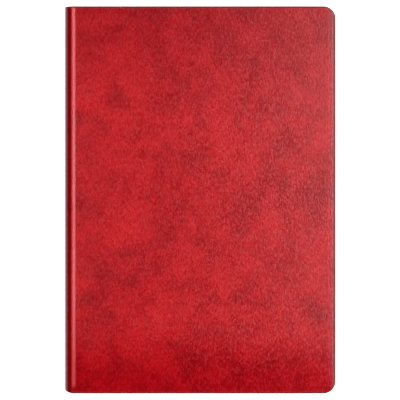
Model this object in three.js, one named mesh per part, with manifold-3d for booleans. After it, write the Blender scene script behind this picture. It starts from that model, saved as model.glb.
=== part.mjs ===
// A case-bound leather notebook, closed and lying on its back cover.
// Millimetres. +Z runs up through the thickness, +Y towards the head, +X towards the fore-edge.
// The origin is the centre of the back cover's outer face.

import * as THREE from "three";
import { mergeVertices } from "three/addons/utils/BufferGeometryUtils.js";
import Module from "manifold-3d";

// The closed notebook.
const WIDTH = 147;
const HEIGHT = 210;
const THICKNESS = 18;
const SPINE_ROUND = 5.5; // outer radius where the leather turns from a cover onto the spine
const CORNER_ROUND = 6.5; // fore-edge corners, seen from the front
const EDGE_ROUND = 1.2; // turned leather edges of the covers, seen from the side
const GAP = 0.05; // clearance left for glue between two layers

// The layers of one cover, from the outside in.
const LEATHER = 0.8;
const PADDING = 0.6;
const BOARD = 1.8;
const PARED_LEATHER = 0.4; // leather pared thin where it is turned over the inside of a board
const ENDPAPER = 0.15;
const TURN_IN = 13; // how far the leather reaches over the inside of a board
const PADDING_INSET = 3.5; // the padding stops this far short of the cover's edges
const BOARD_SETBACK = 0.5; // from the end of the spine's round to the board

// The book block.
const SECTIONS_PER_HALF = 4;
const SQUARE = 3; // how far the covers stand out past the pages
const BLOCK_SETBACK = 3; // from the spine's outer face to the folds of the sections
const PAGE_CORNER = 5;
const FOLD = 0.2; // paper left across the fold of an endpaper

// The spine, measured inwards from its outer face.
const STRIP = 0.6;
const KRAFT = 0.15;
const KRAFT_DEPTH = 2.3;
const MULL = 0.25;
const MULL_DEPTH = 2.5;
const MULL_SHORT = 8; // the mull stops this far short of the head and tail of the pages
const KRAFT_SHORT = 0.5;
const THREAD_DEPTH = 2.78;
const THREAD = 0.2; // thickness of the sewing thread, pressed flat
const THREAD_WIDTH = 0.35;
const STITCH_LENGTH = 4;
const STITCH_STATIONS = [-88, -44, 0, 44, 88];
const BAND_RADIUS = 0.75;
const BAND_TAPE = 7; // the headband's tape, glued down the spine of the pages
const HINGE_SPLIT = 0.1; // cut between the spine's leather and a cover's, across the round

const CURVE_STEPS = 8;
const BEVEL_STEPS = 3;

// Places that follow from those.
const SPINE_X = -WIDTH / 2;
const FORE_X = WIDTH / 2;
const HEAD_Y = HEIGHT / 2;
const ROUND_X = SPINE_X + SPINE_ROUND;
const BLOCK_X = SPINE_X + BLOCK_SETBACK;
const BLOCK_FORE_X = FORE_X - SQUARE;
const BLOCK_HEAD_Y = HEAD_Y - SQUARE;
const PADDING_Z = LEATHER + GAP;
const BOARD_Z = PADDING_Z + PADDING + GAP;
const TURN_IN_Z = BOARD_Z + BOARD + GAP;
const COVER_TOP_Z = TURN_IN_Z + PARED_LEATHER;
const ENDPAPER_Z = COVER_TOP_Z + GAP;
const ENDPAPER_TOP_Z = ENDPAPER_Z + 2 * ENDPAPER + GAP;
const BLOCK_Z = ENDPAPER_TOP_Z + GAP;
const HALF_BLOCK = THICKNESS / 2 - BLOCK_Z;
const SECTION_PITCH = HALF_BLOCK / SECTIONS_PER_HALF;
const SECTION = SECTION_PITCH - GAP;
const BEYOND = 20; // how far a cutting tool runs past what it cuts

const wasm = await Module();
wasm.setup();

function solidOf(geometry) {
  const bare = geometry.index ? geometry.toNonIndexed() : geometry.clone();
  bare.deleteAttribute("normal");
  bare.deleteAttribute("uv");
  const merged = mergeVertices(bare, 1e-4);
  const mesh = new wasm.Mesh({
    numProp: 3,
    vertProperties: merged.attributes.position.array,
    triVerts: new Uint32Array(merged.index.array),
  });
  return new wasm.Manifold(mesh);
}

function geometryOf(solid) {
  const mesh = solid.getMesh();
  const geometry = new THREE.BufferGeometry();
  geometry.setAttribute("position", new THREE.BufferAttribute(mesh.vertProperties, 3));
  geometry.setIndex(new THREE.BufferAttribute(mesh.triVerts, 1));
  geometry.computeVertexNormals();
  return geometry;
}

function joined(geometries) {
  return geometries.map(solidOf).reduce((whole, next) => whole.add(next));
}

// A box between two opposite corners.
function block(low, high) {
  const size = high.map((value, axis) => value - low[axis]);
  const middle = high.map((value, axis) => (value + low[axis]) / 2);
  return new THREE.BoxGeometry(...size).translate(...middle);
}

// The plan of a board or a page: square at the spine, rounded at the two fore-edge corners.
function plan(spineX, foreX, headY, radius) {
  const shape = new THREE.Shape();
  shape.moveTo(spineX, -headY);
  shape.lineTo(foreX - radius, -headY);
  shape.absarc(foreX - radius, -headY + radius, radius, -Math.PI / 2, 0, false);
  shape.absarc(foreX - radius, headY - radius, radius, 0, Math.PI / 2, false);
  shape.lineTo(spineX, headY);
  shape.closePath();
  return shape;
}

function plate(shape, bottomZ, topZ) {
  const options = { depth: topZ - bottomZ, bevelEnabled: false, curveSegments: CURVE_STEPS };
  return new THREE.ExtrudeGeometry(shape, options).translate(0, 0, bottomZ);
}

function roundedPlate(shape, bottomZ, topZ, round) {
  const options = {
    depth: topZ - bottomZ - 2 * round,
    bevelThickness: round,
    bevelSize: round,
    bevelOffset: -round,
    bevelSegments: BEVEL_STEPS,
    curveSegments: CURVE_STEPS,
  };
  return new THREE.ExtrudeGeometry(shape, options).translate(0, 0, bottomZ + round);
}

// A profile drawn in X and Z, run the whole height of the notebook.
function alongSpine(shape) {
  const options = { depth: HEIGHT, bevelEnabled: false, curveSegments: CURVE_STEPS };
  return new THREE.ExtrudeGeometry(shape, options).rotateX(Math.PI / 2).translate(0, HEAD_Y, 0);
}

// The leather of one cover: an outer skin, its three turned edges, the turn-ins over the board's
// inside, and the half of the spine's round that stays with the cover.
function coverLeather() {
  const inside = BOARD_SETBACK + LEATHER;
  const outer = plan(ROUND_X - BEYOND, FORE_X, HEAD_Y, CORNER_ROUND);
  const boardPlan = plan(
    ROUND_X - BEYOND,
    FORE_X - LEATHER,
    HEAD_Y - LEATHER,
    CORNER_ROUND - LEATHER,
  );
  const windowPlan = plan(ROUND_X - BEYOND, FORE_X - TURN_IN, HEAD_Y - TURN_IN, inside);
  const spineSide = block(
    [ROUND_X - 2 * BEYOND, -HEIGHT, -BEYOND],
    [ROUND_X, HEIGHT, BEYOND],
  );
  return solidOf(roundedPlate(outer, 0, COVER_TOP_Z, EDGE_ROUND))
    .subtract(solidOf(plate(boardPlan, LEATHER, TURN_IN_Z)))
    .subtract(solidOf(plate(windowPlan, TURN_IN_Z - GAP, COVER_TOP_Z + BEYOND)))
    .subtract(solidOf(spineSide))
    .add(solidOf(alongSpine(halfRound())));
}

// A cover's half of the round, with a short lead under the skin so that the two join.
function halfRound() {
  const inner = SPINE_ROUND - LEATHER;
  const start = -Math.PI / 2;
  const end = (-3 * Math.PI) / 4 + HINGE_SPLIT / 2 / SPINE_ROUND;
  const shape = new THREE.Shape();
  shape.moveTo(ROUND_X + LEATHER, 0);
  shape.lineTo(ROUND_X + LEATHER, LEATHER);
  shape.absarc(ROUND_X, SPINE_ROUND, inner, start, end, true);
  shape.absarc(ROUND_X, SPINE_ROUND, SPINE_ROUND, end, start, false);
  shape.closePath();
  return shape;
}

// The spine's leather: a channel with half of each round, turned in over the ends of the strip.
function spineLeather() {
  const inner = SPINE_ROUND - LEATHER;
  const split = HINGE_SPLIT / 2 / SPINE_ROUND;
  const rear = (5 * Math.PI) / 4 - split;
  const front = (3 * Math.PI) / 4 + split;
  const frontZ = THICKNESS - SPINE_ROUND;
  const shape = new THREE.Shape();
  shape.absarc(ROUND_X, SPINE_ROUND, SPINE_ROUND, rear, Math.PI, true);
  shape.absarc(ROUND_X, frontZ, SPINE_ROUND, Math.PI, front, true);
  shape.absarc(ROUND_X, frontZ, inner, front, Math.PI, false);
  shape.absarc(ROUND_X, SPINE_ROUND, inner, Math.PI, rear, false);
  shape.closePath();
  const skinX = SPINE_X + LEATHER;
  const flapX = skinX + STRIP + 2 * GAP;
  const turnedX = flapX + PARED_LEATHER;
  const endY = HEAD_Y - LEATHER;
  const flapY = HEAD_Y - TURN_IN;
  const parts = [alongSpine(shape)];
  for (const side of [-1, 1]) {
    const [wallLow, wallHigh] = side > 0 ? [endY, HEAD_Y] : [-HEAD_Y, -endY];
    const [flapLow, flapHigh] = side > 0 ? [flapY, HEAD_Y] : [-HEAD_Y, -flapY];
    parts.push(block([skinX - GAP, wallLow, SPINE_ROUND], [turnedX, wallHigh, frontZ]));
    parts.push(block([flapX, flapLow, SPINE_ROUND], [turnedX, flapHigh, frontZ]));
  }
  return joined(parts);
}

// One folded endpaper: the pastedown against the cover and the flyleaf against the pages.
function endpaper() {
  const whole = plate(
    plan(BLOCK_X, BLOCK_FORE_X, BLOCK_HEAD_Y, PAGE_CORNER),
    ENDPAPER_Z,
    ENDPAPER_TOP_Z,
  );
  const slot = block(
    [BLOCK_X + FOLD, -HEIGHT, ENDPAPER_Z + ENDPAPER],
    [FORE_X + BEYOND, HEIGHT, ENDPAPER_TOP_Z - ENDPAPER],
  );
  return solidOf(whole).subtract(solidOf(slot));
}

// One sewing station: a short stitch along the fold of every section, and the link to the next.
function stitchRow(stationY) {
  const x0 = SPINE_X + THREAD_DEPTH;
  const x1 = x0 + THREAD;
  const foldZ = [];
  for (let index = 0; index < 2 * SECTIONS_PER_HALF; index += 1) {
    const level = index - SECTIONS_PER_HALF + 0.5;
    foldZ.push(THICKNESS / 2 + level * SECTION_PITCH);
  }
  const parts = [];
  foldZ.forEach((z, index) => {
    const low = [x0, stationY - STITCH_LENGTH / 2, z - THREAD_WIDTH / 2];
    const high = [x1, stationY + STITCH_LENGTH / 2, z + THREAD_WIDTH / 2];
    parts.push(block(low, high));
    if (index > 0) {
      const side = index % 2 ? 1 : -1;
      const linkY = stationY + (side * (STITCH_LENGTH - THREAD_WIDTH)) / 2;
      const linkLow = [x0, linkY - THREAD_WIDTH / 2, foldZ[index - 1]];
      parts.push(block(linkLow, [x1, linkY + THREAD_WIDTH / 2, z]));
    }
  });
  return joined(parts);
}

// A headband: a rolled bead over the end of the pages, with its tape down their spine.
function headband() {
  const beadX = BLOCK_X - THREAD + BAND_RADIUS;
  const beadY = BLOCK_HEAD_Y + GAP + BAND_RADIUS;
  const bead = new THREE.Shape();
  bead.absarc(beadX, beadY, BAND_RADIUS, 0, 2 * Math.PI, false);
  const tapeX = SPINE_X + THREAD_DEPTH;
  const tape = block(
    [tapeX, BLOCK_HEAD_Y - BAND_TAPE, BLOCK_Z],
    [tapeX + THREAD, beadY, THICKNESS - BLOCK_Z],
  );
  return joined([plate(bead, BLOCK_Z, THICKNESS - BLOCK_Z), tape]);
}

const FINISHES = {
  leather: { color: 0xb5252e, roughness: 0.42, metalness: 0 },
  padding: { color: 0xd9d4c8, roughness: 0.95, metalness: 0 },
  greyboard: { color: 0x8f8b84, roughness: 0.9, metalness: 0 },
  endpaper: { color: 0xe9dfc8, roughness: 0.85, metalness: 0 },
  paper: { color: 0xf1ead8, roughness: 0.85, metalness: 0 },
  kraft: { color: 0xa9835a, roughness: 0.85, metalness: 0 },
  mull: { color: 0xe4dcc6, roughness: 0.95, metalness: 0 },
  thread: { color: 0xe8e2d2, roughness: 0.7, metalness: 0 },
  headband: { color: 0x9c1f28, roughness: 0.7, metalness: 0 },
};

function piece(name, geometry, finish) {
  const mesh = new THREE.Mesh(geometry, new THREE.MeshStandardMaterial(FINISHES[finish]));
  mesh.name = name;
  return mesh;
}

// One cover and the sections on its side of the middle, built as the lower half.
function half(cover, firstSection, step) {
  const group = new THREE.Group();
  const boardX = ROUND_X + BOARD_SETBACK;
  const inset = LEATHER + GAP;
  const boardPlan = plan(boardX, FORE_X - inset, HEAD_Y - inset, CORNER_ROUND - inset);
  const paddingPlan = plan(
    boardX,
    FORE_X - PADDING_INSET,
    HEAD_Y - PADDING_INSET,
    CORNER_ROUND - PADDING_INSET,
  );
  const pagePlan = plan(BLOCK_X, BLOCK_FORE_X, BLOCK_HEAD_Y, PAGE_CORNER);
  group.add(
    piece(`${cover}_leather`, geometryOf(coverLeather()), "leather"),
    piece(`${cover}_padding`, plate(paddingPlan, PADDING_Z, PADDING_Z + PADDING), "padding"),
    piece(`${cover}_board`, plate(boardPlan, BOARD_Z, BOARD_Z + BOARD), "greyboard"),
    piece(`${cover}_endpaper`, geometryOf(endpaper()), "endpaper"),
  );
  for (let index = 0; index < SECTIONS_PER_HALF; index += 1) {
    const bottomZ = BLOCK_Z + index * SECTION_PITCH;
    const name = `section_${firstSection + step * index}`;
    group.add(piece(name, plate(pagePlan, bottomZ, bottomZ + SECTION), "paper"));
  }
  return group;
}

function spine() {
  const group = new THREE.Group();
  const stripX = SPINE_X + LEATHER + GAP;
  const stripEndY = HEAD_Y - LEATHER - GAP;
  const strip = block(
    [stripX, -stripEndY, SPINE_ROUND],
    [stripX + STRIP, stripEndY, THICKNESS - SPINE_ROUND],
  );
  const kraftX = SPINE_X + KRAFT_DEPTH;
  const kraftY = BLOCK_HEAD_Y - KRAFT_SHORT;
  const kraft = block([kraftX, -kraftY, BLOCK_Z], [kraftX + KRAFT, kraftY, THICKNESS - BLOCK_Z]);
  const mullX = SPINE_X + MULL_DEPTH;
  const mullY = BLOCK_HEAD_Y - MULL_SHORT;
  const mull = block([mullX, -mullY, BLOCK_Z], [mullX + MULL, mullY, THICKNESS - BLOCK_Z]);
  group.add(
    piece("spine_leather", geometryOf(spineLeather()), "leather"),
    piece("spine_strip", strip, "greyboard"),
    piece("kraft_lining", kraft, "kraft"),
    piece("mull_lining", mull, "mull"),
    piece("headband", geometryOf(headband()), "headband"),
  );
  const tailband = piece("tailband", geometryOf(headband()), "headband");
  tailband.rotation.x = Math.PI;
  tailband.position.z = THICKNESS;
  group.add(tailband);
  STITCH_STATIONS.forEach((stationY, index) => {
    group.add(piece(`stitch_row_${index + 1}`, geometryOf(stitchRow(stationY)), "thread"));
  });
  return group;
}

// The front half is the back half turned over about the notebook's long middle line.
const backHalf = half("back", 2 * SECTIONS_PER_HALF, -1);
const frontHalf = half("front", 1, 1);
frontHalf.rotation.x = Math.PI;
frontHalf.position.z = THICKNESS;

const notebook = new THREE.Group();
notebook.add(backHalf, spine(), frontHalf);

export default notebook;
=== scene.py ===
# %% [markdown]
# # A leather notebook, closed, seen from straight above
#
# The engineering model gives every part its place: two covers, a spine and eight sewn sections of
# paper, joined by two hinges. This lesson dresses that frame, so we load it first. The places and
# the outer sizes are read from the frame's own parts. What the frame leaves open, such as the
# thickness of a skin or the size of a grain, is named in millimetres where it is first needed.

# %% Load the frame
import math
import random

import bmesh
import bpy
from mathutils import Matrix, Vector


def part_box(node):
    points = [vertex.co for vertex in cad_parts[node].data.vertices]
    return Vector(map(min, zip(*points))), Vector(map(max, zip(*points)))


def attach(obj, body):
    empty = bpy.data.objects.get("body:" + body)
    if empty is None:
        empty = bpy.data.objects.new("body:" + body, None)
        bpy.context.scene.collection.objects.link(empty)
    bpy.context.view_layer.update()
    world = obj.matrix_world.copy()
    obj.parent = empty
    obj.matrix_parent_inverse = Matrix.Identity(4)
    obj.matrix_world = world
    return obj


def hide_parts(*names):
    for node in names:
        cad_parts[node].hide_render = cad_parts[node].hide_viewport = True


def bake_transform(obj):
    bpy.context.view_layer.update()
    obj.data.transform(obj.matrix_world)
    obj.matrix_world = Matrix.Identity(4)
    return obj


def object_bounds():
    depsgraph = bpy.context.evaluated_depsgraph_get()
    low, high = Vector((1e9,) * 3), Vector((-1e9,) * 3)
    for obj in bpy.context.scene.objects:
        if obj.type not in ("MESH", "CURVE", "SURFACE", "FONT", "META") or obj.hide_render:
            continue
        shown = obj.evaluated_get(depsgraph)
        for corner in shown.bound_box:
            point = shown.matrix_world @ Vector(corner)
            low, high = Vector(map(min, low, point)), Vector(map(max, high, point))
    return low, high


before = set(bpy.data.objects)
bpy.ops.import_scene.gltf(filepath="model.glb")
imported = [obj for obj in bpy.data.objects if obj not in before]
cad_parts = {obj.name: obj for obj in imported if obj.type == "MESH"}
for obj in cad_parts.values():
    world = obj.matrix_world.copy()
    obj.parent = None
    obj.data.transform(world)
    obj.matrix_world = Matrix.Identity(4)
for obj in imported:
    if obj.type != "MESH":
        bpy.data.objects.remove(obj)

CAD_LOW, CAD_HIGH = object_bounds()
MM = 0.001
print("frame", [round(side / MM, 2) for side in CAD_HIGH - CAD_LOW], "mm")

# %% [markdown]
# The notebook lies on its back cover. +Z is up, +Y is the head, and the spine is on the -X side.
# The leather turns from each cover onto the spine through a quarter round. The strip of card inside
# the spine starts where that round ends, which gives its radius.

# %% Read the sizes off the frame
LEATHER_LOW, LEATHER_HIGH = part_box("front_leather")
BLOCK_LOW, BLOCK_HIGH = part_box("section_1")
SPINE_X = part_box("spine_leather")[0].x
SPINE_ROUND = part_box("spine_strip")[0].z
ROUND_X = SPINE_X + SPINE_ROUND
FORE_X, HEAD_Y, TOP_Z = LEATHER_HIGH
MIDDLE_Z = TOP_Z / 2
COVER_DEPTH = TOP_Z - LEATHER_LOW.z
print("round", round(SPINE_ROUND / MM, 2), "cover", round(COVER_DEPTH / MM, 2), "mm")

# %% [markdown]
# ## Camera
#
# The camera looks straight down from well above, so the covers hide the pages and the spine shows
# only as the thin round along the left edge. The notebook nearly fills a square view from head to
# tail, and that share sets the lens. A longer lens from further away would flatten the view more,
# but from this height the sides of the covers are hidden as well.

# %% Camera
CAMERA_HEIGHT = 0.95
CAMERA_SLIDE = (0.05 * MM, -0.09 * MM)
SENSOR = 36.0
FILLED_SHARE = 0.969
VIEW_WIDTH = 2 * HEAD_Y / FILLED_SHARE

camera_data = bpy.data.cameras.new("camera")
camera_data.sensor_width = SENSOR
camera_data.lens = SENSOR * CAMERA_HEIGHT / VIEW_WIDTH
camera = bpy.data.objects.new("camera", camera_data)
camera.location = (*CAMERA_SLIDE, TOP_Z + CAMERA_HEIGHT)
bpy.context.scene.collection.objects.link(camera)
bpy.context.scene.camera = camera
print("lens", round(camera_data.lens, 1), "mm")

# %% [markdown]
# ## Writing shaders as sums
#
# A material is a graph of nodes. Wiring it by hand hides the idea, so one small class wraps a socket
# and lets Python's own operators add the Math nodes. Every other node comes from its `node` method,
# which takes the node's type, its settings and what goes into its sockets.

# %% A socket that can be added and multiplied
class Shade:
    """One output socket of a material's node tree."""

    def __init__(self, tree, socket=None):
        self.tree = tree
        self.socket = socket

    def node(self, kind, settings=None, sockets=None, output=0):
        made = self.tree.nodes.new("ShaderNode" + kind)
        for name, value in (settings or {}).items():
            if name == "stops":
                fill_ramp(made.color_ramp, value)
            else:
                setattr(made, name, value)
        for key, value in (sockets or {}).items():
            if isinstance(value, Shade):
                self.tree.links.new(value.socket, made.inputs[key])
            else:
                made.inputs[key].default_value = value
        return Shade(self.tree, made.outputs[output])

    def math(self, operation, other=0.0):
        return self.node("Math", {"operation": operation}, {0: self, 1: other})

    def __add__(self, other):
        return self.math("ADD", other)

    def __sub__(self, other):
        return self.math("SUBTRACT", other)

    def __rsub__(self, other):
        return self.node("Math", {"operation": "SUBTRACT"}, {0: other, 1: self})

    def __mul__(self, other):
        return self.math("MULTIPLY", other)

    def __abs__(self):
        return self.math("ABSOLUTE")

    __radd__ = __add__
    __rmul__ = __mul__

    def fade(self, start, end):
        """0 at start and 1 at end, eased at both."""
        settings = {"interpolation_type": "SMOOTHSTEP", "clamp": True}
        return self.node("MapRange", settings, {0: self, 1: start, 2: end, 3: 0.0, 4: 1.0})

    def mix(self, first, second):
        """A colour between two, by this value as the factor."""
        settings = {"data_type": "RGBA"}
        return self.node("Mix", settings, {0: self, 6: first, 7: second}, output=2)

    def tint(self, colour, filter_colour):
        """A colour seen through a filter, by this value as the filter's strength."""
        settings = {"data_type": "RGBA", "blend_type": "MULTIPLY"}
        return self.node("Mix", settings, {0: self, 6: colour, 7: filter_colour}, output=2)


def fill_ramp(ramp, stops):
    for index, (position, colour) in enumerate(stops):
        if index > 1:
            ramp.elements.new(position)
        ramp.elements[index].position = position
        ramp.elements[index].color = colour


print("Shade makes Math, Mix and Map Range nodes")

# %% [markdown]
# Grain has to stay put on the leather when a cover swings open and the hinge bends. So each bending
# piece carries an attribute with the place that every point had while the notebook was closed, and
# its material reads that. A rigid part reads its plain Object coordinates.

# %% Start a material
REST = "rest_place"


def new_material(name):
    material = bpy.data.materials.new(name)
    material.use_nodes = True
    principled = material.node_tree.nodes["Principled BSDF"]
    return material, Shade(material.node_tree), principled


def rest_place(shade):
    return shade.node("Attribute", {"attribute_type": "GEOMETRY", "attribute_name": REST}, output=1)


def object_place(shade):
    return shade.node("TexCoord", output=3)


def stretched(place, scale):
    """The place multiplied by a different amount along each axis."""
    return place.node("VectorMath", {"operation": "MULTIPLY"}, {0: place, 1: scale})


def axes_of(place):
    split = place.node("SeparateXYZ", None, {0: place}).socket.node
    return [Shade(place.tree, axis) for axis in split.outputs]


def noise(place, scale, detail=2.0, roughness=0.5, distortion=0.0):
    sockets = {"Vector": place, "Scale": scale, "Detail": detail, "Roughness": roughness}
    sockets["Distortion"] = distortion
    return place.node("TexNoise", None, sockets)


def link(source, socket):
    source.tree.links.new(source.socket, socket)


def bump(height, strength, distance):
    sockets = {"Strength": strength, "Distance": distance, "Height": height}
    return height.node("Bump", None, sockets)


print("materials read", REST)

# %% [markdown]
# ## Leather
#
# The cover is a smooth, waxed red leather. From some way off its dye is cloudy: darker pools some
# ten millimetres across, a few spots, and paler rubbed leather between them. Up close it has short
# dark pores and pale marks where the tops of the grain have rubbed, both a little longer than they
# are wide; the pale marks are partly painted glints. These go in the colour. The pebbles of the
# grain and the creases between them go in the bump. All this could be painted as an image, but
# patterns made of noise stay sharp from close by and have no seams. Each pattern is one function
# that gives a value from 0 to about 1.

# %% Leather patterns
CLOUD_SCALE = 50
CLOUD_TURN = math.radians(30)
CLOUD_LENGTH = 0.8
POOL_SCALE = 120
SPOT_SCALE = 78
PORE_LENGTH = 0.5
PORE_SCALE = 1150
FINE_PORE_SCALE = 1.9 * PORE_SCALE
TIP_LENGTH = 0.44
TIP_SCALE = 1100
SCUFF_PLACE = (-4.0 * MM, -14.0 * MM, 0)
SCUFF_TURN = math.radians(21)
SCUFF_HALF = (2.4 * MM, 9.5 * MM, 1)
GRAIN_LENGTH = 0.62
GRAIN_SCALE = 1050
FINE_GRAIN_SCALE = 3200
CRINKLE_LENGTH = 0.35
CRINKLE_SCALE = 900
SWAY_SCALE = 260
SWAY = (3 * MM, 2 * MM, 0)


def leather_clouds(place):
    """The broad tone of the dye, 0 in a dark pool and 1 where it is rubbed."""
    turned = {"Vector": place, "Rotation": (0, 0, CLOUD_TURN), "Scale": (1, CLOUD_LENGTH, 1)}
    drawn = place.node("Mapping", None, turned)
    broad = noise(drawn, CLOUD_SCALE, detail=1.5, distortion=0.4)
    pools = noise(place, POOL_SCALE, detail=1.0, distortion=0.3)
    return (broad * 0.6 + pools * 0.4).fade(0.30, 0.70)


def leather_spots(place):
    """Darker spots where the dye has pooled, 1 in a spot and 0 between."""
    return noise(place, SPOT_SCALE, detail=1.5, distortion=0.2).fade(0.52, 0.72)


def leather_pores(place):
    """Short dark marks that lie along the cover, 1 in a pore and 0 between."""
    along = stretched(place, (1, PORE_LENGTH, 1))
    coarse = noise(along, PORE_SCALE, detail=1.0, distortion=0.4)
    fine = noise(along, FINE_PORE_SCALE, detail=1.0)
    return (coarse * 0.6 + fine * 0.4).fade(0.42, 0.64)


def leather_tips(place):
    """Pale marks where the tops of the grain have rubbed, partly painted glints; 1 on a mark and 0
    between.
    """
    along = stretched(place, (1, TIP_LENGTH, 1))
    return noise(along, TIP_SCALE, detail=1.0, roughness=0.6, distortion=0.4).fade(0.47, 0.66)


def leather_scuff(place):
    """One soft rubbed streak on the front cover, 1 along its middle and 0 away from it."""
    laid = {"Vector": place, "Location": SCUFF_PLACE, "Rotation": (0, 0, SCUFF_TURN)}
    laid["Scale"] = SCUFF_HALF
    drawn = place.node("Mapping", {"vector_type": "TEXTURE"}, laid)
    away = drawn.node("VectorMath", {"operation": "LENGTH"}, {0: drawn}, output=1)
    front = axes_of(place)[2].fade(MIDDLE_Z, TOP_Z)
    return (1 - away.fade(0.15, 1.0)) * front


def leather_grain(place):
    """Pebbles and the creases between them, as a height from 0 to about 1."""
    sway = noise(place, SWAY_SCALE, detail=2.0)
    swayed = stretched(sway.node("CombineXYZ", None, {0: sway, 1: sway}), SWAY)
    along = stretched(place, (1, GRAIN_LENGTH, 1))
    shifted = along.node("VectorMath", {"operation": "ADD"}, {0: along, 1: swayed})
    cells = {"Vector": shifted, "Scale": GRAIN_SCALE, "Randomness": 1.0}
    creases = place.node("TexVoronoi", {"feature": "DISTANCE_TO_EDGE"}, cells)
    pebbles = creases.fade(0.0, 0.35)
    fine = noise(shifted, FINE_GRAIN_SCALE, detail=2.0)
    crinkled = stretched(place, (1, CRINKLE_LENGTH, 1))
    crinkles = noise(crinkled, CRINKLE_SCALE, detail=2.0, roughness=0.6, distortion=0.8)
    return pebbles * 0.35 + fine * 0.2 + crinkles * 0.5


print("pores", round(MM * PORE_SCALE, 2), "to a millimetre")

# %% [markdown]
# Other marks belong to a place on the cover, so they are measured from its edges. The round of the
# spine is darkened with painted shade, and the ridge next to it is made pale as a painted highlight.
# The rim, which turns away, is darkened with painted shade. A faint line of painted shade lies in
# the crease where the padding ends. The red deepens towards the tail as painted shade, and is a
# little deeper at the head too. The further from the spine, the more the pale grain tops show,
# partly as rubbing and partly as painted sheen.

# %% Where the marks lie
FOLD_START = (0.0, 1.0 * MM)
FOLD_END = (3.3 * MM, 4.3 * MM)
RIDGE_START = (3.6 * MM, 4.4 * MM)
RIDGE_END = (5.5 * MM, 6.5 * MM)
RIDGE_TAIL = (2.5 * MM, 5.5 * MM)
RIM_REACH = (0.1 * MM, 1.8 * MM)
CREASE_START = (2.4 * MM, 3.4 * MM)
CREASE_END = (3.4 * MM, 4.4 * MM)
TAIL_FADE = (40 * MM, 5 * MM)
HEAD_FADE = (66 * MM, 0.0)
HANDLED_AND_SHEEN_FADE = (10 * MM, 130 * MM)


def between(distance, start, end):
    """1 from the first fade to the second, and 0 outside them."""
    return distance.fade(*start) * (1 - distance.fade(*end))


def leather_marks(place):
    x, y, _ = axes_of(place)
    across = x - SPINE_X
    from_tail = y + HEAD_Y
    from_edge = (FORE_X - x).math("MINIMUM", HEAD_Y - abs(y))
    return {
        # Places of the painted shade (fold, rim, crease, tail) and of the painted highlight (ridge).
        "fold": between(across, FOLD_START, FOLD_END),
        "ridge": between(across, RIDGE_START, RIDGE_END) * from_tail.fade(*RIDGE_TAIL),
        "rim": 1 - from_edge.fade(*RIM_REACH),
        "crease": between(from_edge, CREASE_START, CREASE_END),
        "tail": from_tail.fade(*TAIL_FADE),
        "head": (HEAD_Y - y).fade(*HEAD_FADE),
        "handled_and_sheen": across.fade(*HANDLED_AND_SHEEN_FADE),
        "pores": leather_pores(place),
    }


print("the fold ends", round(FOLD_END[1] / MM, 1), "mm from the spine")

# %% [markdown]
# The colour is built up in layers, each mixed over the last: cloudy red, dark pores and spots, then
# the rubbing with its pale grain tops, which are partly painted sheen, then painted shade towards
# the tail and a deeper tone at the head, and last the painted highlight on the ridge and the painted
# shade in the crease, the fold and the rim. The number beside each mark is how strongly it shows.
# Roughness falls where the leather is waxed or pressed, and rises on the rim, which is worn.

# %% Leather
DEEP_RED = (0.345, 0.0012, 0.0050, 1)
RED = (0.460, 0.0022, 0.0070, 1)
RUBBED_RED = (0.550, 0.0042, 0.0095, 1)
PORE_RED = (0.180, 0.0008, 0.0030, 1)
# Pale grain tops: partly rubbed leather, partly painted glints.
TIP_AND_GLINT_RED = (0.620, 0.0560, 0.0620, 1)
SCUFF_RED = (0.640, 0.0140, 0.0230, 1)
# Painted shade: darkens the round of the spine, the rim and the crease.
PAINTED_SHADE_RED = (0.190, 0.0008, 0.0030, 1)
# Painted highlight: the pale ridge beside the spine.
RIDGE_HIGHLIGHT_RED = (0.640, 0.0460, 0.0500, 1)
# Painted shade: the red deepens towards the tail.
TAIL_SHADE_TINT = (0.80, 0.30, 0.55, 1)
HEAD_TINT = (0.78, 0.55, 0.70, 1)
BASE_ROUGHNESS = 0.28
BUMP_STRENGTH = 0.33
BUMP_DEPTH = 0.12 * MM


def leather_dye_and_painted_light(place, clouds, marks):
    settings = {"stops": [(0.0, DEEP_RED), (0.5, RED), (1.0, RUBBED_RED)]}
    dye = clouds.node("ValToRGB", settings, {0: clouds})
    dye = (marks["pores"] * 0.3).mix(dye, PORE_RED)
    dye = (leather_spots(place) * 0.26).mix(dye, PORE_RED)
    dye = (leather_scuff(place) * 0.65).mix(dye, SCUFF_RED)
    # Pale grain tops, partly painted sheen, showing more towards the fore-edge.
    dye = (leather_tips(place) * (0.20 + marks["handled_and_sheen"] * 0.28)).mix(dye, TIP_AND_GLINT_RED)
    # Painted shade towards the tail.
    dye = marks["tail"].tint(dye, TAIL_SHADE_TINT)
    dye = marks["head"].tint(dye, HEAD_TINT)
    # Painted shade in the crease where the padding ends.
    dye = (marks["crease"] * 0.10).mix(dye, PAINTED_SHADE_RED)
    # Painted highlight on the ridge beside the spine.
    dye = (marks["ridge"] * 0.85 * (1 - marks["tail"] * 0.1)).mix(dye, RIDGE_HIGHLIGHT_RED)
    # Painted shade on the round of the spine and on the rim.
    return (marks["fold"] * 0.95).math("MAXIMUM", marks["rim"] * 0.8).mix(dye, PAINTED_SHADE_RED)


def leather_roughness(clouds, marks):
    waxed = (marks["tail"] * 0.12 + marks["head"] * 0.03) * (1 - marks["ridge"])
    pressed = marks["ridge"] * 0.10 + marks["fold"] * 0.12 + marks["pores"] * 0.08
    return BASE_ROUGHNESS + clouds * 0.03 - waxed - pressed + marks["rim"] * 0.45


def leather_height(place, marks):
    height = leather_grain(place) - marks["pores"] * 0.4
    pressed_flat = {"tail": 0.4, "ridge": 0.6, "fold": 0.6}
    for mark, share in pressed_flat.items():
        height = height * (1 - marks[mark] * share)
    return height


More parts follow.
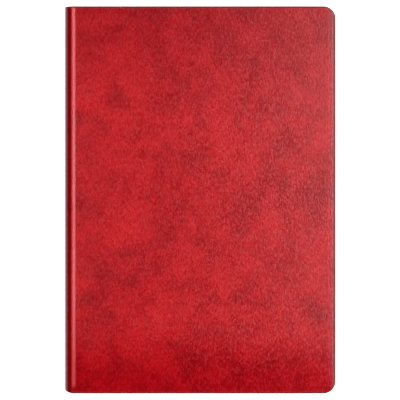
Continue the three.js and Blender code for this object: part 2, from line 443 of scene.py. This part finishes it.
def make_leather():
    material, shade, principled = new_material("red_leather")
    place = rest_place(shade)
    clouds = leather_clouds(place)
    marks = leather_marks(place)
    height = leather_height(place, marks)
    link(leather_dye_and_painted_light(place, clouds, marks), principled.inputs["Base Color"])
    link(leather_roughness(clouds, marks), principled.inputs["Roughness"])
    link(bump(height, BUMP_STRENGTH, BUMP_DEPTH), principled.inputs["Normal"])
    principled.inputs["Specular IOR Level"].default_value = 0.26
    return material


LEATHER = make_leather()
print("leather nodes", len(LEATHER.node_tree.nodes))

# %% [markdown]
# ## Paper, board and cloth
#
# The pages are cream writing paper with faint rules seven millimetres apart, which stop short of the
# edges. Each leaf has its own slight tone, kept as an attribute, so the edges of the block show the
# leaves as fine lines. The endpapers are a heavier ivory sheet.

# %% Paper
PAPER_LIGHT = (0.86, 0.80, 0.66, 1)
PAPER_DARK = (0.66, 0.58, 0.43, 1)
RULE_INK = (0.40, 0.42, 0.46, 1)
RULE_PITCH = 7 * MM
RULE_WIDTH = 0.22 * MM
RULE_MARGIN = 9 * MM
RULE_INK_SHARE = 0.55
RULES_BELOW = 50
PAPER_FIBRE_SCALE = 900
TONE = "tone"


def page_rules(place):
    """1 on a ruled line and 0 between, inside the margins; lines are counted from below the page."""
    x, y, _ = axes_of(place)
    step = (y * (1 / RULE_PITCH) + RULES_BELOW).math("FRACT")
    line = 1 - abs(step - 0.5).fade(0.0, RULE_WIDTH / RULE_PITCH)
    above = (BLOCK_HIGH.y - 2 * RULE_MARGIN - y).fade(0.0, RULE_WIDTH)
    below = (y - BLOCK_LOW.y - RULE_MARGIN).fade(0.0, RULE_WIDTH)
    before = (BLOCK_HIGH.x - RULE_MARGIN / 2 - x).fade(0.0, RULE_WIDTH)
    after = (x - BLOCK_LOW.x - 2 * RULE_MARGIN / 3).fade(0.0, RULE_WIDTH)
    return line * above * below * before * after


def make_paper():
    material, shade, principled = new_material("ruled_paper")
    place = rest_place(shade)
    tone = shade.node("Attribute", {"attribute_type": "GEOMETRY", "attribute_name": TONE}, output=2)
    fibres = noise(place, PAPER_FIBRE_SCALE, detail=3.0)
    sheet = (tone * 0.8 + fibres * 0.2).mix(PAPER_DARK, PAPER_LIGHT)
    link((page_rules(place) * RULE_INK_SHARE).mix(sheet, RULE_INK), principled.inputs["Base Color"])
    link(0.82 + fibres * 0.1, principled.inputs["Roughness"])
    link(bump(fibres, 0.15, 0.05 * MM), principled.inputs["Normal"])
    principled.inputs["Specular IOR Level"].default_value = 0.25
    return material


PAPER = make_paper()
print("paper nodes", len(PAPER.node_tree.nodes))

# %% [markdown]
# The other inner materials differ only in their two tones, the size of their grain and how rough
# they are, so one function makes them all: ivory endpaper, grey binder's board with its dark flecks,
# the card of the spine, brown kraft paper and the soft wadding under the leather.

# %% Plain fibrous materials
FIBRE_LENGTH = 0.4
FLECKS_PER_FIBRE = 3
FLECK_SHARE = 0.5


def make_fibrous(name, dark, light, scale, roughness, read_place, height=0.05 * MM):
    material, shade, principled = new_material(name)
    place = read_place(shade)
    fibres = noise(stretched(place, (1, FIBRE_LENGTH, 1)), scale, detail=4.0, roughness=0.7)
    flecks = noise(place, scale * FLECKS_PER_FIBRE, detail=1.0).fade(0.62, 0.74)
    toned = fibres.fade(0.3, 0.7).mix(dark, light)
    link((flecks * FLECK_SHARE).mix(toned, dark), principled.inputs["Base Color"])
    link(bump(fibres, 0.4, height), principled.inputs["Normal"])
    principled.inputs["Roughness"].default_value = roughness
    return material


ENDPAPER = make_fibrous(
    "ivory_endpaper",
    dark=(0.70, 0.62, 0.46, 1),
    light=(0.80, 0.73, 0.58, 1),
    scale=500,
    roughness=0.85,
    read_place=rest_place,
)
GREYBOARD = make_fibrous(
    "greyboard",
    dark=(0.14, 0.13, 0.115, 1),
    light=(0.30, 0.285, 0.26, 1),
    scale=700,
    roughness=0.92,
    read_place=object_place,
)
SPINE_CARD = make_fibrous(
    "spine_card",
    dark=(0.24, 0.22, 0.19, 1),
    light=(0.40, 0.37, 0.32, 1),
    scale=600,
    roughness=0.9,
    read_place=object_place,
)
KRAFT = make_fibrous(
    "kraft_paper",
    dark=(0.26, 0.14, 0.06, 1),
    light=(0.44, 0.27, 0.13, 1),
    scale=800,
    roughness=0.85,
    read_place=object_place,
)
WADDING = make_fibrous(
    "wadding",
    dark=(0.55, 0.52, 0.45, 1),
    light=(0.78, 0.75, 0.68, 1),
    scale=450,
    roughness=0.97,
    read_place=object_place,
    height=0.2 * MM,
)
print("five fibrous materials")

# %% [markdown]
# Cloth and thread show how they were made. Mull is an open cotton gauze: the gaps between its
# threads are holes, so its weave goes into Alpha as well as the bump. The headband is silk wound
# over a core in red and cream, and the sewing thread is waxed linen with a twist.

# %% Woven materials
MULL_PITCH = 0.9 * MM
BAND_PITCH = 1.2 * MM
STRANDS = 6
SHEEN_SCALE = 900
TWIST_PITCH = 0.5 * MM
COTTON = (0.74, 0.68, 0.53, 1)
BAND_RED = (0.30, 0.010, 0.018, 1)
BAND_CREAM = (0.76, 0.68, 0.50, 1)
LINEN_LIGHT = (0.78, 0.73, 0.60, 1)
LINEN_DARK = (0.50, 0.44, 0.32, 1)


def ridges(along, pitch):
    """Rounded ridges across an axis, from 0 to 1."""
    return (along * (math.tau / pitch)).math("SINE") * 0.5 + 0.5


def make_mull():
    material, shade, principled = new_material("cotton_mull")
    _, y, z = axes_of(rest_place(shade))
    across = ridges(y, MULL_PITCH)
    down = ridges(z, MULL_PITCH)
    threads = across.math("MAXIMUM", down)
    principled.inputs["Base Color"].default_value = COTTON
    principled.inputs["Roughness"].default_value = 0.95
    link(threads.fade(0.55, 0.65), principled.inputs["Alpha"])
    link(bump(threads, 0.6, 0.1 * MM), principled.inputs["Normal"])
    return material


def make_band():
    material, shade, principled = new_material("silk_headband")
    place = rest_place(shade)
    _, _, z = axes_of(place)
    stripe = ridges(z, 2 * BAND_PITCH).fade(0.45, 0.55)
    strands = ridges(z, BAND_PITCH / STRANDS)
    link(stripe.mix(BAND_RED, BAND_CREAM), principled.inputs["Base Color"])
    link(0.45 + noise(place, SHEEN_SCALE) * 0.2, principled.inputs["Roughness"])
    link(bump(strands, 0.5, 0.05 * MM), principled.inputs["Normal"])
    return material


def make_thread():
    material, shade, principled = new_material("linen_thread")
    _, y, z = axes_of(object_place(shade))
    twist = ridges(y + z, TWIST_PITCH)
    link(twist.mix(LINEN_DARK, LINEN_LIGHT), principled.inputs["Base Color"])
    link(bump(twist, 0.6, 0.05 * MM), principled.inputs["Normal"])
    principled.inputs["Roughness"].default_value = 0.65
    return material


MULL = make_mull()
SILK = make_band()
LINEN = make_thread()
print("three woven materials")

# %% [markdown]
# ## From a bmesh to a piece
#
# Every new piece ends the same way: its normals are made to point out, its mesh goes into an object
# at the origin, and the rest places are written down for the materials.

# %% Finish a piece
SHARP_ANGLE = math.radians(35)
UNIT_HALF = 0.5  # a grid of this half width is one metre wide, so its scale is its size


def everything(bm):
    return bm.verts[:] + bm.edges[:] + bm.faces[:]


def finish_piece(name, bm, material):
    bmesh.ops.recalc_face_normals(bm, faces=bm.faces[:])
    for face in bm.faces:
        face.smooth = True
    mesh = bpy.data.meshes.new(name)
    bm.to_mesh(mesh)
    bm.free()
    mesh.set_sharp_from_angle(angle=SHARP_ANGLE)
    mesh.materials.append(material)
    attribute = mesh.attributes.new(REST, "FLOAT_VECTOR", "POINT")
    attribute.data.foreach_set("vector", [value for vertex in mesh.vertices for value in vertex.co])
    piece = bpy.data.objects.new(name, mesh)
    bpy.context.scene.collection.objects.link(piece)
    print(name, len(mesh.polygons), "faces")
    return piece


# %% [markdown]
# ## The case leather
#
# One skin wraps both covers and the spine. On a bench it is cut flat, pared thin along its edges,
# and turned in over the boards. A cloth simulation could fold it, but its edges would come out
# uneven, and a bound cover's are crisp. So we model it the way it lies: a plan outline becomes the
# front cover's face by insets that climb over the rounded edge, and its turned-in underside by
# insets that run the other way. The cut edge at the spine is then spun through the quarter round. A
# thin pad under the face stops a little inside the edges, which leaves a low step all round.

# %% Sizes of the leather
CORNER_ROUND = 6.5 * MM
CORNER_STEPS = 12
EDGE_ROUND = 0.9 * MM
EDGE_STEPS = 6
UNDER_ROUND = 1.0 * MM
STEP_HEIGHT = 0.03 * MM
STEP_START = 3.0 * MM
STEP_END = 4.0 * MM
STEP_RINGS = 4
TURNED = 5.2 * MM
EDGE_DRAFT = 0.05 * MM
SKIN = 0.42 * MM
SPINE_DEPTH = 2.1 * MM
SPINE_EDGE_ROUND = 0.5 * MM
JOINT_RUN = 1.2 * MM
JOINT_STEPS = 6
ROUND_STEPS = 22
SEAM_LEAD = 0.5 * MM
SEAM_Z = TOP_Z - SPINE_ROUND - SEAM_LEAD
SINK = 0.26 * MM
SINK_X = ROUND_X + 1.3 * MM
SINK_RUN = 3.1 * MM
TAIL_DRAW = 1.3 * MM
TAIL_REACH = 8 * MM
WELD = 0.001 * MM
print("seam at", round(SEAM_Z / MM, 2), "mm")


# %% A rectangle with two round corners
def plan_face(bm, low_x, high_x, half_y, z, corner):
    """One flat face, square at the spine and rounded at the fore-edge."""
    made = bmesh.ops.create_grid(bm, x_segments=1, y_segments=1, size=UNIT_HALF)
    size = (high_x - low_x, 2 * half_y, 1)
    bmesh.ops.scale(bm, vec=size, verts=made["verts"])
    bmesh.ops.translate(bm, vec=((low_x + high_x) / 2, 0, z), verts=made["verts"])
    fore = [v for v in made["verts"] if v.co.x > (low_x + high_x) / 2]
    bmesh.ops.bevel(
        bm,
        geom=fore,
        offset=corner,
        offset_type="OFFSET",
        segments=CORNER_STEPS,
        profile=0.5,
        affect="VERTICES",
        material=-1,
    )
    bm.faces.ensure_lookup_table()
    return bm.faces[-1]


def ring_by_ring(bm, face, rings):
    """Insets a face from ring to ring; a ring is its distance in from the edge and its rise."""
    for (inset, rise), (next_inset, next_rise) in zip(rings, rings[1:]):
        bmesh.ops.inset_region(
            bm,
            faces=[face],
            use_boundary=True,
            use_even_offset=True,
            thickness=next_inset - inset,
            depth=next_rise - rise,
        )


def quarter(inset, rise, radius, steps):
    """The rings of a quarter round that starts upright and ends level."""
    angles = [math.radians(90) * step / steps for step in range(1, steps + 1)]
    return [(inset + radius * (1 - math.cos(a)), rise + radius * math.sin(a)) for a in angles]


def eased(share):
    return share * share * (3 - 2 * share)


print("a quarter round of", EDGE_STEPS, "rings:", len(quarter(0, 0, EDGE_ROUND, EDGE_STEPS)))


# %% The front cover's skin, flat to the spine side
def cover_skin():
    """The skin runs on past the round of the spine, and the next step cuts the spare off."""
    bm = bmesh.new()
    widest = TOP_Z - STEP_HEIGHT - EDGE_ROUND
    past_round = ROUND_X - 3 * CORNER_ROUND
    face = plan_face(bm, past_round, FORE_X, HEAD_Y, widest, CORNER_ROUND)
    over = [(0, 0)] + quarter(0, 0, EDGE_ROUND, EDGE_STEPS) + [(STEP_START, EDGE_ROUND)]
    for ring in range(1, STEP_RINGS + 1):
        share = ring / STEP_RINGS
        inset = STEP_START + (STEP_END - STEP_START) * share
        over.append((inset, EDGE_ROUND + STEP_HEIGHT * eased(share)))
    ring_by_ring(bm, face, over)

    below = bmesh.new()
    face = plan_face(below, past_round, FORE_X, HEAD_Y, widest, CORNER_ROUND)
    bmesh.ops.reverse_faces(below, faces=[face])
    face.normal_update()
    straight = COVER_DEPTH - STEP_HEIGHT - EDGE_ROUND - UNDER_ROUND
    under = [(0, 0), (EDGE_DRAFT, straight)]
    under += quarter(EDGE_DRAFT, straight, UNDER_ROUND, EDGE_STEPS)
    under.append((TURNED, straight + UNDER_ROUND))
    ring_by_ring(below, face, under)
    bmesh.ops.delete(below, geom=[face], context="FACES_ONLY")

    lower = bpy.data.meshes.new("lower")
    below.to_mesh(lower)
    below.free()
    bm.from_mesh(lower)
    bpy.data.meshes.remove(lower)
    bmesh.ops.remove_doubles(bm, verts=bm.verts[:], dist=WELD)
    return bm


# %% [markdown]
# Where the board ends the cover gets thinner, because only the card strip is left inside. So the
# cut edge first runs across the joint while it closes up, then turns through the round, and then
# goes down to the middle of the spine. At the tail the leather of the spine is drawn in a little,
# as it is pulled tight over the end of the strip.

# %% Across the joint, round and down the spine
def cut_edge(bm, test):
    return [e for e in bm.edges if e.is_boundary and all(test(v.co) for v in e.verts)]


def geometry_of(edges):
    return list({v for e in edges for v in e.verts}) + edges


def thinner(depth):
    """How deep a point of the cover's edge lies once the board has ended."""
    stops = [
        (0, 0),
        (STEP_HEIGHT, 0),
        (STEP_HEIGHT + EDGE_ROUND, SPINE_EDGE_ROUND),
        (COVER_DEPTH, SPINE_DEPTH),
    ]
    for (start, low), (end, high) in zip(stops, stops[1:]):
        if depth <= end:
            return low + (high - low) * (depth - start) / (end - start)
    return SPINE_DEPTH


def run_to_spine(bm):
    joint_x = ROUND_X + JOINT_RUN
    bmesh.ops.bisect_plane(
        bm, geom=everything(bm), plane_co=(joint_x, 0, 0), plane_no=(1, 0, 0), clear_inner=True
    )
    edges = cut_edge(bm, lambda co: abs(co.x - joint_x) < WELD)
    for _ in range(JOINT_STEPS):
        made = bmesh.ops.extrude_edge_only(bm, edges=edges)["geom"]
        edges = [g for g in made if isinstance(g, bmesh.types.BMEdge)]
        verts = [g for g in made if isinstance(g, bmesh.types.BMVert)]
        bmesh.ops.translate(bm, vec=(-JOINT_RUN / JOINT_STEPS, 0, 0), verts=verts)
    for vertex in bm.verts:
        share = eased(min(1, max(0, (joint_x - vertex.co.x) / JOINT_RUN)))
        depth = TOP_Z - vertex.co.z
        vertex.co.z -= share * (thinner(depth) - depth)
        inset = HEAD_Y - abs(vertex.co.y)
        if depth > STEP_HEIGHT and inset < EDGE_ROUND:
            closer = inset * (1 - SPINE_EDGE_ROUND / EDGE_ROUND) * share
            vertex.co.y += math.copysign(closer, vertex.co.y)
    last = bmesh.ops.spin(
        bm,
        geom=geometry_of(edges),
        cent=(ROUND_X, 0, TOP_Z - SPINE_ROUND),
        axis=(0, -1, 0),
        angle=math.radians(90),
        steps=ROUND_STEPS,
    )["geom_last"]
    edges = [g for g in last if isinstance(g, bmesh.types.BMEdge)]
    made = bmesh.ops.extrude_edge_only(bm, edges=edges)["geom"]
    verts = [g for g in made if isinstance(g, bmesh.types.BMVert)]
    bmesh.ops.translate(bm, vec=(0, 0, MIDDLE_Z - (TOP_Z - SPINE_ROUND)), verts=verts)


def sink_joint(bm):
    """Lowers the leather a little from the board's edge to the round."""
    for vertex in bm.verts:
        share = min(1, max(0, (SINK_X - vertex.co.x) / SINK_RUN))
        above = min(1, max(0, (vertex.co.z - TOP_Z + SPINE_ROUND) / SPINE_ROUND))
        vertex.co.z -= SINK * eased(share) * above


def draw_in_tail(bm):
    for vertex in bm.verts:
        round_share = min(1, max(0, (ROUND_X - vertex.co.x) / SPINE_ROUND))
        tail_share = min(1, max(0, (TAIL_REACH - HEAD_Y - vertex.co.y) / TAIL_REACH))
        vertex.co.y += TAIL_DRAW * round_share**2 * eased(tail_share)


def upper_case():
    """The skin of the front cover and of the upper half of the spine, as one sheet."""
    bm = cover_skin()
    run_to_spine(bm)
    sink_joint(bm)
    draw_in_tail(bm)
    bmesh.ops.recalc_face_normals(bm, faces=bm.faces[:])
    return bm


# %% [markdown]
# The hinges bend in the two rounds. Each cover's leather takes its whole round with it down to a
# seam on the flat of the spine. The back leather is the front one mirrored across the middle of the
# thickness. Last, each sheet gets its thickness inwards.

# %% Cut into front, spine and back
def facing_out(bm, direction, co):
    """Turns all faces if the one nearest a point doesn't face a direction."""
    bm.normal_update()
    nearest = min(bm.faces, key=lambda face: (face.calc_center_median() - co).length)
    if nearest.normal.dot(direction) < 0:
        bmesh.ops.reverse_faces(bm, faces=bm.faces[:])
        bm.normal_update()


def thicken(bm):
    bmesh.ops.solidify(bm, geom=bm.faces[:], thickness=SKIN)


def cover_leather(name, mirrored):
    bm = upper_case()
    bmesh.ops.bisect_plane(
        bm, geom=everything(bm), plane_co=(0, 0, SEAM_Z), plane_no=(0, 0, 1), clear_inner=True
    )
    facing_out(bm, Vector((0, 0, 1)), Vector((0, 0, TOP_Z)))
    thicken(bm)
    if mirrored:
        bmesh.ops.scale(bm, vec=(1, 1, -1), verts=bm.verts[:])
        bmesh.ops.translate(bm, vec=(0, 0, TOP_Z), verts=bm.verts[:])
    return finish_piece(name, bm, LEATHER)


def spine_leather():
    bm = upper_case()
    bmesh.ops.bisect_plane(
        bm, geom=everything(bm), plane_co=(0, 0, SEAM_Z), plane_no=(0, 0, 1), clear_outer=True
    )
    bmesh.ops.mirror(
        bm,
        geom=everything(bm),
        matrix=Matrix.Translation((0, 0, -MIDDLE_Z)),
        axis="Z",
    )
    bmesh.ops.remove_doubles(bm, verts=bm.verts[:], dist=WELD)
    bmesh.ops.recalc_face_normals(bm, faces=bm.faces[:])
    facing_out(bm, Vector((-1, 0, 0)), Vector((SPINE_X, 0, MIDDLE_Z)))
    thicken(bm)
    return finish_piece("spine_cover_leather", bm, LEATHER)


front_leather = cover_leather("front_cover_leather", mirrored=False)
back_leather = cover_leather("back_cover_leather", mirrored=True)
middle_leather = spine_leather()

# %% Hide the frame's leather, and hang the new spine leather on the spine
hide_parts("front_leather")
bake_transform(front_leather)
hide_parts("back_leather")
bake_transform(back_leather)
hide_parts("spine_leather")
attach(middle_leather, "spine")

# %% [markdown]
# ## Pages
#
# The pages could be one block with lines painted on its edges, but then the notebook couldn't open.
# A section is a stack of folded sheets, one inside the next, sewn through the fold. We make one
# sheet as a page with a quarter fold spun from its spine edge, mirror it across the middle of the
# section, weld the halves and thicken it. The columns of cuts near the spine give the page room to
# bend when the notebook opens. The sections at the middle get the longest reach of cuts, and those
# near a cover the least.

# %% One folded sheet
PAGE_CORNER = 5 * MM
SHEETS = 6
LEAF_SHARE = 0.88
FOLD_STEPS = 4
BEND_COLUMNS = 16
BEND_MARGIN = 1.05
TRIM_PLAY = 0.05 * MM
LEAF_TONES = (0.55, 1.0)
shuffle = random.Random(7)


def folded_sheet(low, high, outer, leaf, reach, trim):
    """A sheet folded at the spine, as a closed solid; outer is its half thickness there."""
    bm = bmesh.new()
    centre_z = (low.z + high.z) / 2
    fold_x = low.x + (high.z - low.z) / 2
    plan_face(bm, fold_x, high.x - trim, high.y - trim, centre_z + outer, PAGE_CORNER)
    for column in range(1, BEND_COLUMNS + 1):
        cut_x = fold_x + (low.x + reach * BEND_MARGIN - fold_x) * column / BEND_COLUMNS
        bmesh.ops.bisect_plane(
            bm, geom=everything(bm), plane_co=(cut_x, 0, 0), plane_no=(1, 0, 0)
        )
    edges = cut_edge(bm, lambda co: abs(co.x - fold_x) < WELD)
    bmesh.ops.spin(
        bm,
        geom=geometry_of(edges),
        cent=(fold_x, 0, centre_z),
        axis=(0, -1, 0),
        angle=math.radians(90),
        steps=FOLD_STEPS,
    )
    bmesh.ops.mirror(
        bm,
        geom=everything(bm),
        matrix=Matrix.Translation((0, 0, -centre_z)),
        axis="Z",
    )
    bmesh.ops.remove_doubles(bm, verts=bm.verts[:], dist=WELD)
    bmesh.ops.recalc_face_normals(bm, faces=bm.faces[:])
    facing_out(bm, Vector((0, 0, 1)), Vector(((low.x + high.x) / 2, 0, centre_z + outer)))
    bmesh.ops.solidify(bm, geom=bm.faces[:], thickness=leaf)
    return bm


def nest(name, node, sheets, reach, leaf_share, material):
    """Folded sheets one inside the next, filling the node's box."""
    low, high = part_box(node)
    pitch = (high.z - low.z) / 2 / sheets
    whole = bmesh.new()
    tone = whole.verts.layers.float.new(TONE)
    for sheet in range(1, sheets + 1):
        trim = shuffle.uniform(0, TRIM_PLAY)
        bm = folded_sheet(low, high, sheet * pitch, pitch * leaf_share, reach, trim)
        mesh = bpy.data.meshes.new("sheet")
        bm.to_mesh(mesh)
        bm.free()
        before = len(whole.verts)
        whole.from_mesh(mesh)
        bpy.data.meshes.remove(mesh)
        whole.verts.ensure_lookup_table()
        paleness = shuffle.uniform(*LEAF_TONES)
        for vertex in whole.verts[before:]:
            vertex[tone] = paleness
    return finish_piece(name, whole, material)


# %% All the sections, and the two endpapers
REACHES = [16 * MM, 14.6 * MM, 13.2 * MM, 11.8 * MM]
ENDPAPER_REACH = 5 * MM
ENDPAPER_SHARE = 0.857
HALVES = {"front": [4, 3, 2, 1], "back": [5, 6, 7, 8]}


def bend_pages(piece, node):
    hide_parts(node)
    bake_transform(piece)


for half, numbers in HALVES.items():
    for number, reach in zip(numbers, REACHES):
        node = f"section_{number}"
        section = nest(f"pages_{number}", node, SHEETS, reach, LEAF_SHARE, PAPER)
        bend_pages(section, node)
    node = f"{half}_endpaper"
    reach = ENDPAPER_REACH
    leaves = nest(f"{half}_endleaves", node, 1, reach, ENDPAPER_SHARE, ENDPAPER)
    bend_pages(leaves, node)

# %% [markdown]
# ## Inside the covers and the spine
#
# The wadding is a thin soft sheet between the board and the leather, and what shows of it is the
# low step that it leaves in the cover. It needs no folds or stuffing, so a plate with rounded edges
# will do.

# %% Wadding
WADDING_ROUND = 0.28 * MM
WADDING_STEPS = 3
WADDING_CORNER = 3 * MM


def wadding(half):
    node = f"{half}_padding"
    low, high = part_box(node)
    bm = bmesh.new()
    face = plan_face(bm, low.x, high.x, high.y, low.z, WADDING_CORNER)
    made = bmesh.ops.extrude_face_region(bm, geom=[face])["geom"]
    top = [g for g in made if isinstance(g, bmesh.types.BMVert)]
    bmesh.ops.translate(bm, vec=(0, 0, high.z - low.z), verts=top)
    rim = [e for e in bm.edges if abs(e.verts[0].co.z - e.verts[1].co.z) < WELD]
    bmesh.ops.bevel(
        bm,
        geom=rim,
        offset=WADDING_ROUND,
        offset_type="OFFSET",
        segments=WADDING_STEPS,
        profile=0.5,
        affect="EDGES",
        material=-1,
    )
    piece = finish_piece(f"{half}_wadding", bm, WADDING)
    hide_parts(node)
    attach(piece, f"{half}_half")


wadding("front")
wadding("back")

# %% [markdown]
# A headband is silk wound round a core, with a flat tape that goes down behind the folds of the
# pages. It is thinner than two millimetres, so we don't model single threads: a cylinder is drawn in
# a little between its wraps, and the stripes and strands are left to the material.

# %% Headbands
BAND_SIDES = 16
BAND_WRAPS = 16
BAND_SLACK = 0.9
BAND_TAPE = 0.2 * MM


def head_band(name, node, side):
    """A wound bead over the end of the pages, and its tape behind their folds."""
    low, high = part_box(node)
    height = high.z - low.z
    radius = (high.x - low.x) / 2
    end_y = high.y if side > 0 else low.y
    bm = bmesh.new()
    bmesh.ops.create_cone(
        bm,
        cap_ends=True,
        segments=BAND_SIDES,
        radius1=radius,
        radius2=radius,
        depth=height,
    )
    upright = [e for e in bm.edges if abs(e.verts[0].co.z - e.verts[1].co.z) > WELD]
    bmesh.ops.subdivide_edges(bm, edges=upright, cuts=2 * BAND_WRAPS - 1, use_grid_fill=True)
    for vertex in bm.verts:
        wrap = 0.5 - 0.5 * math.cos((vertex.co.z / height + 0.5) * math.tau * BAND_WRAPS)
        pull = BAND_SLACK + (1 - BAND_SLACK) * wrap
        vertex.co.x *= pull
        vertex.co.y *= pull
    place = (high.x - radius, end_y - side * radius, MIDDLE_Z)
    bmesh.ops.translate(bm, vec=place, verts=bm.verts[:])
    tape = bmesh.ops.create_cube(bm, size=1)["verts"]
    length = high.y - low.y - radius
    bmesh.ops.scale(bm, vec=(BAND_TAPE, length, height), verts=tape)
    place = (low.x + BAND_TAPE / 2, end_y - side * (radius + length / 2), MIDDLE_Z)
    bmesh.ops.translate(bm, vec=place, verts=tape)
    piece = finish_piece(name, bm, SILK)
    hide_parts(node)
    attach(piece, "spine")


head_band("silk_headband", "headband", 1)
head_band("silk_tailband", "tailband", -1)

# %% [markdown]
# Mull is gauze, glued over the folds of the sections to hold them together. Its threads are too many
# to model, so it is one thin sheet, and its material opens the holes between the threads.

# %% Mull
MULL_WIDTH = 10 * MM
MULL_CELLS = (4, 40)


def mull():
    """The gauze behind the folds, with its long edges turned a little round the outer ones."""
    low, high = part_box("mull_lining")
    width = high.z - low.z
    turned = (MULL_WIDTH - width) / 2
    bm = bmesh.new()
    across, down = MULL_CELLS
    bmesh.ops.create_grid(bm, x_segments=across, y_segments=down, size=UNIT_HALF)
    bmesh.ops.scale(bm, vec=(width, high.y - low.y, 1), verts=bm.verts[:])
    bmesh.ops.rotate(bm, matrix=Matrix.Rotation(math.radians(90), 3, "Y"), verts=bm.verts[:])
    bmesh.ops.translate(bm, vec=(low.x, 0, MIDDLE_Z), verts=bm.verts[:])
    long_edges = cut_edge(bm, lambda co: abs(abs(co.z - MIDDLE_Z) - width / 2) < WELD)
    made = bmesh.ops.extrude_edge_only(bm, edges=long_edges)["geom"]
    verts = [g for g in made if isinstance(g, bmesh.types.BMVert)]
    bmesh.ops.translate(bm, vec=(turned, 0, 0), verts=verts)
    bmesh.ops.recalc_face_normals(bm, faces=bm.faces[:])
    facing_out(bm, Vector((-1, 0, 0)), Vector((low.x, 0, MIDDLE_Z)))
    bmesh.ops.solidify(bm, geom=bm.faces[:], thickness=high.x - low.x)
    piece = finish_piece("mull_gauze", bm, MULL)
    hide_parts("mull_lining")
    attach(piece, "spine")


mull()

# %% [markdown]
# The boards, the strip, the kraft paper and the sewing already have their true shapes in the frame.
# Their meshes are left alone, and only get their materials.

# %% Materials for the parts that stay
KEPT = {
    "front_board": GREYBOARD,
    "back_board": GREYBOARD,
    "spine_strip": SPINE_CARD,
    "kraft_lining": KRAFT,
}
kept_count = 0
for name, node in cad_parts.items():
    material = LINEN if name.startswith("stitch_row") else KEPT.get(name)
    if material:
        node.data.materials.clear()
        node.data.materials.append(material)
        kept_count += 1
print("kept parts:", kept_count)

# %% [markdown]
# ## Table and light
#
# The notebook lies on a white table that glows a little, so its shadow stays faint. A broad light
# above and to the right gives the leather its red and the soft sheen that grows towards the
# fore-edge, which the pale grain tops add to as painted sheen. A narrow one on the left is mirrored
# by the ridge beside the spine as a pale line, and the ridge's colour adds a painted highlight to
# it.

# %% Table
TABLE_HALF = 3.0
TABLE_GAP = 0.2 * MM


def table():
    bm = bmesh.new()
    bmesh.ops.create_grid(bm, x_segments=1, y_segments=1, size=TABLE_HALF)
    bmesh.ops.translate(bm, vec=(0, 0, CAD_LOW.z - TABLE_GAP), verts=bm.verts[:])
    mesh = bpy.data.meshes.new("table")
    bm.to_mesh(mesh)
    bm.free()
    material, _, principled = new_material("white_table")
    principled.inputs["Base Color"].default_value = (0.9, 0.9, 0.9, 1)
    principled.inputs["Roughness"].default_value = 0.8
    principled.inputs["Emission Color"].default_value = (1, 1, 1, 1)
    principled.inputs["Emission Strength"].default_value = 0.8
    mesh.materials.append(material)
    piece = bpy.data.objects.new("table", mesh)
    bpy.context.scene.collection.objects.link(piece)


table()
print("table", 2 * TABLE_HALF, "m wide")

# %% Lights
def area_light(name, place, target, size, power):
    data = bpy.data.lights.new(name, "AREA")
    data.shape = "RECTANGLE"
    data.size, data.size_y = size
    data.energy = power
    lamp = bpy.data.objects.new(name, data)
    lamp.location = place
    aim = Vector(target) - Vector(place)
    lamp.rotation_euler = aim.to_track_quat("-Z", "Y").to_euler()
    bpy.context.scene.collection.objects.link(lamp)


def polar(distance, tilt, heading):
    """A place above the notebook: degrees from straight up, then degrees round from +X."""
    tilt, heading = math.radians(tilt), math.radians(heading)
    across = distance * math.sin(tilt)
    return (across * math.cos(heading), across * math.sin(heading), distance * math.cos(tilt))


area_light(
    "key",
    place=polar(distance=2.4, tilt=27.2, heading=10),
    target=(0, 0, TOP_Z),
    size=(1.2, 1.2),
    power=57,
)
area_light(
    "left_strip",
    place=(-0.475, 0.10, 0.88),
    target=(0, 0.15, TOP_Z),
    size=(0.50, 0.24),
    power=2.8,
)

world = bpy.data.worlds.new("studio")
world.use_nodes = True
background = world.node_tree.nodes["Background"]
background.inputs["Color"].default_value = (1, 1, 1, 1)
background.inputs["Strength"].default_value = 0.04
bpy.context.scene.world = world
bpy.context.scene.view_settings.view_transform = "Standard"
print("two lamps and a dim studio")
